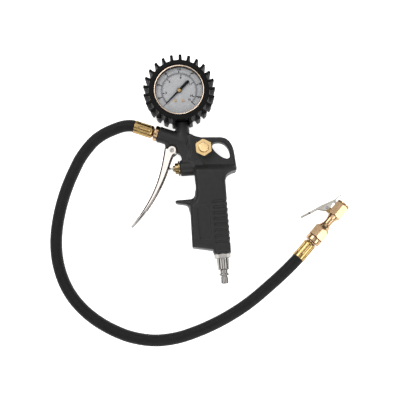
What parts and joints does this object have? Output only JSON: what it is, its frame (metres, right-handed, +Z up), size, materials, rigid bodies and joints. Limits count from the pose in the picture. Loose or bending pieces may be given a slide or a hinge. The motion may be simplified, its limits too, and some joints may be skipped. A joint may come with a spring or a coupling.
{
  "type": "tyre inflator with gauge",
  "caption": "Pistol-grip tyre inflator with lever trigger, dial pressure gauge in a tread-pattern rubber boot, air plug, and a rubber hose ending in a clip-on chuck.",
  "frame": {"origin": "middle of the gun's footprint, without the hose and what is on it, on the table it lies on", "axes": "+Z up out of the dial, +Y from the air plug towards the gauge, +X from the trigger towards the back of the grip"},
  "size_m": [0.3164, 0.302, 0.034],
  "materials": {
    "body_paint": "die-cast aluminium with satin black paint",
    "trigger_chrome": "bright chrome plate on folded steel sheet",
    "steel": "plain zinc-plated steel",
    "plug_steel": "nickel-plated steel",
    "clip_steel": "thin spring-steel sheet",
    "brass": "machined yellow brass",
    "seal_rubber": "black nitrile rubber",
    "boot_rubber": "matt black moulded rubber",
    "hose_rubber": "smooth black rubber hose",
    "case_black": "black painted steel cup",
    "bezel_gold": "polished pale brass ring",
    "lens": "clear flat window",
    "dial_face": "silver-grey printed sheet",
    "needle_black": "black painted pointer"
  },
  "bodies": {
    "root": {"gun_body": "body_paint", "trigger_pin": "steel", "trigger_pin_washer": "steel", "valve_bonnet": "brass", "stem_seal": "seal_rubber", "valve_seat": "brass", "valve_spring": "steel", "bleed_nut": "brass", "bleed_spring": "steel", "air_plug": "plug_steel", "gauge_boot": "boot_rubber", "gauge_case": "case_black", "gauge_bezel": "bezel_gold", "gauge_lens": "lens", "lens_gasket": "seal_rubber", "gauge_dial": "dial_face", "dial_screw_left": "brass", "dial_post_left": "brass", "dial_screw_right": "brass", "dial_post_right": "brass", "movement_plate_lower": "brass", "movement_plate_upper": "brass", "movement_post_1": "brass", "movement_post_2": "brass", "movement_post_3": "brass", "movement_screw_1": "steel", "movement_screw_2": "steel", "hairspring": "steel", "gauge_socket": "brass", "bourdon_tube": "brass", "tube_tip": "brass", "hose_fitting_gun": "brass", "ferrule_gun": "brass", "hose": "hose_rubber", "ferrule_chuck": "brass", "hose_fitting_chuck": "brass", "chuck_body": "brass", "chuck_cap": "brass", "chuck_seal": "seal_rubber", "depressor_pin": "brass", "clip_pin": "steel", "clip_spring": "steel"},
    "trigger": {"trigger_lever": "trigger_chrome"},
    "valve_stem": {"valve_stem": "steel", "poppet_seal": "seal_rubber", "valve_poppet": "brass"},
    "bleed_button": {"bleed_button": "brass", "bleed_seal": "seal_rubber"},
    "sector": {"sector_gear": "brass"},
    "needle": {"pinion_arbor": "brass", "gauge_needle": "needle_black", "needle_hub": "brass"},
    "link": {"gauge_link": "brass"},
    "clip": {"chuck_clip": "clip_steel"}
  },
  "joints": [
    {"name": "trigger_pivot", "type": "hinge", "parent": "root", "child": "trigger", "pos_m": [-0.00875, 0.0221, 0.014], "axis": [0, 0, 1], "range_deg": [0, 8], "stiffness_Nm_per_rad": 1, "springref_deg": -8.59},
    {"name": "valve_stem_slide", "type": "slide", "parent": "root", "child": "valve_stem", "axis": [1, 0, 0], "range_m": [0, 0.0029], "deforming": ["valve_spring"]},
    {"name": "bleed_button_slide", "type": "slide", "parent": "root", "child": "bleed_button", "axis": [0, 0, -1], "range_m": [0, 0.0018], "stiffness_N_per_m": 2500, "springref_m": -0.002, "deforming": ["bleed_spring"]},
    {"name": "sector_swing", "type": "hinge", "parent": "root", "child": "sector", "pos_m": [0.01419, 0.0776, 0.014], "axis": [0, 0, 1], "range_deg": [0, 38.57], "stiffness_Nm_per_rad": 0.01, "springref_deg": -2.86, "deforming": ["bourdon_tube"]},
    {"name": "needle_spin", "type": "hinge", "parent": "root", "child": "needle", "pos_m": [0.0038, 0.0836, 0.02], "axis": [0, 0, -1], "range_deg": [0, 270], "deforming": ["hairspring"]},
    {"name": "link_swing", "type": "hinge", "parent": "sector", "child": "link", "pos_m": [0.01188, 0.07099, 0.0184], "axis": [0, 0, 1], "range_deg": [-38.6, 0]},
    {"name": "chuck_clip_pivot", "type": "hinge", "parent": "root", "child": "clip", "pos_m": [0.14905, -0.05061, 0.0094], "axis": [0, 0, 1], "range_deg": [0, 12], "stiffness_Nm_per_rad": 0.4, "springref_deg": -11.46, "deforming": ["clip_spring"]}
  ],
  "couplings": [
    {"joint": "valve_stem_slide", "follows": "trigger_pivot", "m_per_rad": 0.0204},
    {"joint": "needle_spin", "follows": "sector_swing", "ratio": 7},
    {"joint": "link_swing", "follows": "sector_swing", "ratio": -1}
  ]
}
